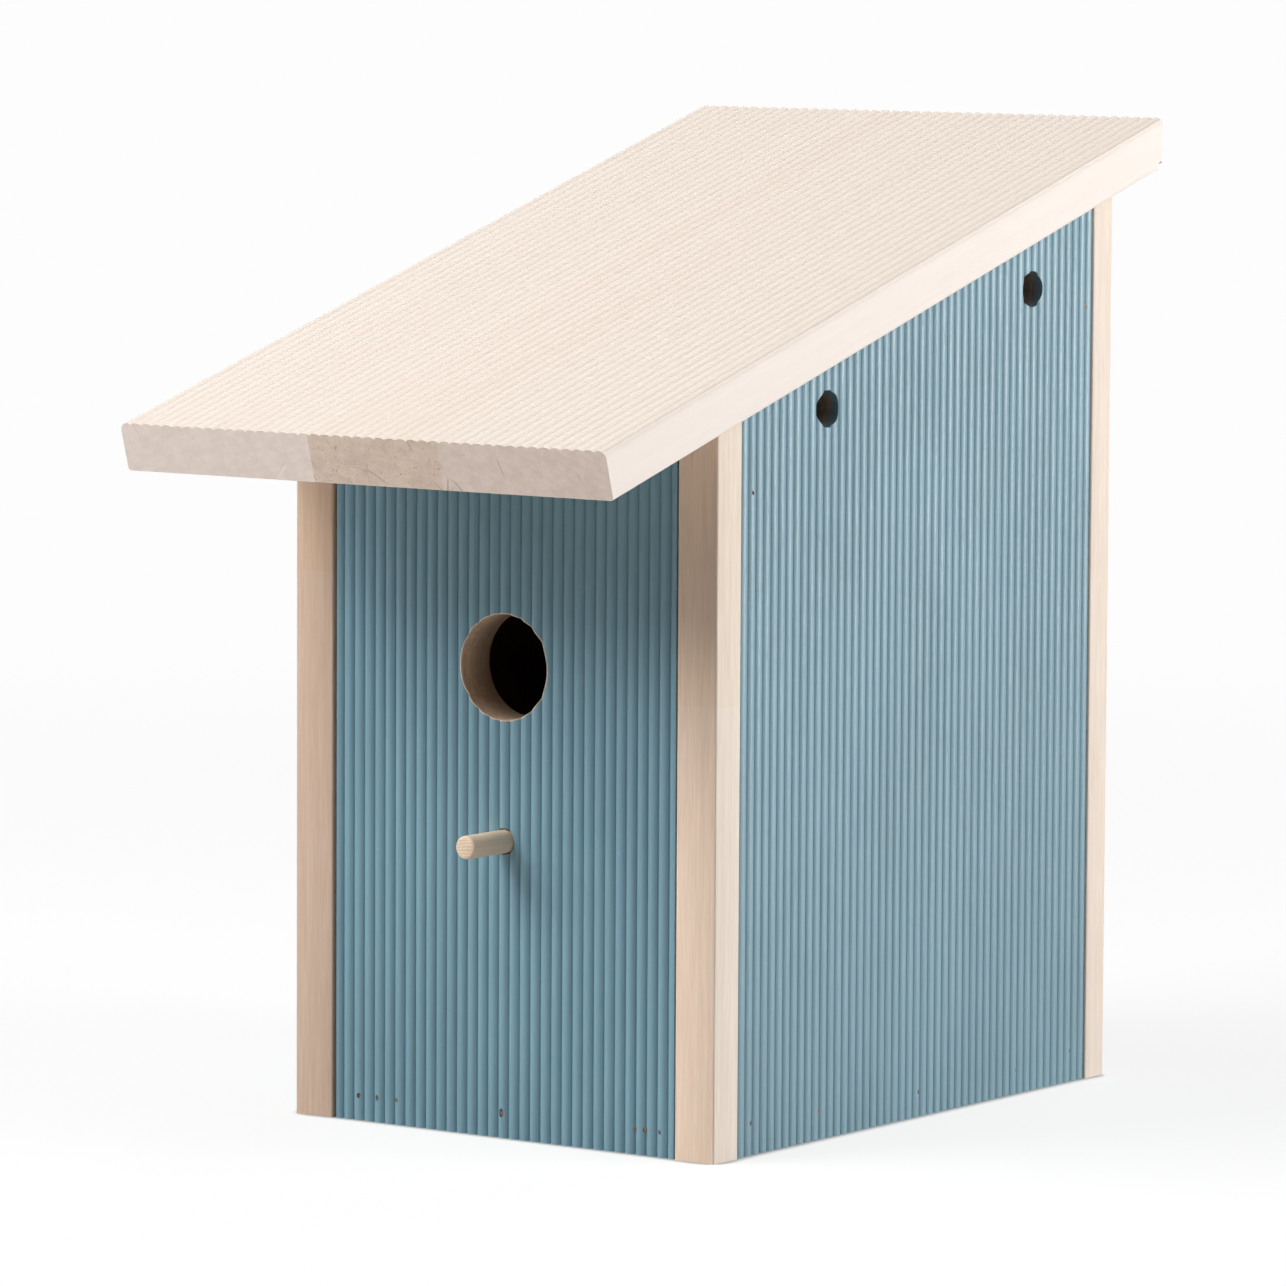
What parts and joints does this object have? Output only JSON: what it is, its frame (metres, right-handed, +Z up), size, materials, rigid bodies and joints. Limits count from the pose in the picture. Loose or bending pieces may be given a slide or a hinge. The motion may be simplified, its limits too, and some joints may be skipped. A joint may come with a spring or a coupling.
{
  "type": "birdhouse",
  "caption": "Ribbed wooden nest box with bare corner posts, a round entrance over a dowel perch, side vents and a lift-off lean-to roof.",
  "frame": {"origin": "centre of the body's footprint over its corner posts, on the surface that it stands on", "axes": "+X to the right seen from the front, +Y to the back, +Z up"},
  "size_m": [0.2, 0.3355, 0.3411],
  "materials": {
    "blue_paint": "satin paint over ribbed wood",
    "post_wood": "bare, lightly whitewashed",
    "roof_wood": "bare, whitewashed",
    "dowel_wood": "bare, turned",
    "raw_wood": "bare, sawn",
    "brad_steel": "dull",
    "screw_steel": "zinc plated"
  },
  "bodies": {
    "box": {"front_panel": "blue_paint", "back_panel": "blue_paint", "left_panel": "blue_paint", "right_panel": "blue_paint", "front_left_post": "post_wood", "front_right_post": "post_wood", "rear_left_post": "post_wood", "rear_right_post": "post_wood", "floor_board": "raw_wood", "front_left_batten": "raw_wood", "front_right_batten": "raw_wood", "rear_left_batten": "raw_wood", "rear_right_batten": "raw_wood", "perch": "dowel_wood", "hanging_batten": "raw_wood", "hanging_batten_screws": "screw_steel", "front_brads": "brad_steel", "back_brads": "brad_steel", "left_brads": "brad_steel", "right_brads": "brad_steel"},
    "roof": {"roof_stave_left": "roof_wood", "roof_stave_middle": "roof_wood", "roof_stave_right": "roof_wood", "roof_cleat_front": "raw_wood", "roof_cleat_rear": "raw_wood", "roof_cleat_screws": "screw_steel"}
  },
  "joints": [
    {"name": "roof_lift", "type": "slide", "parent": "box", "child": "roof", "axis": [0, 0, 1], "range_m": [0, 0.12]}
  ]
}
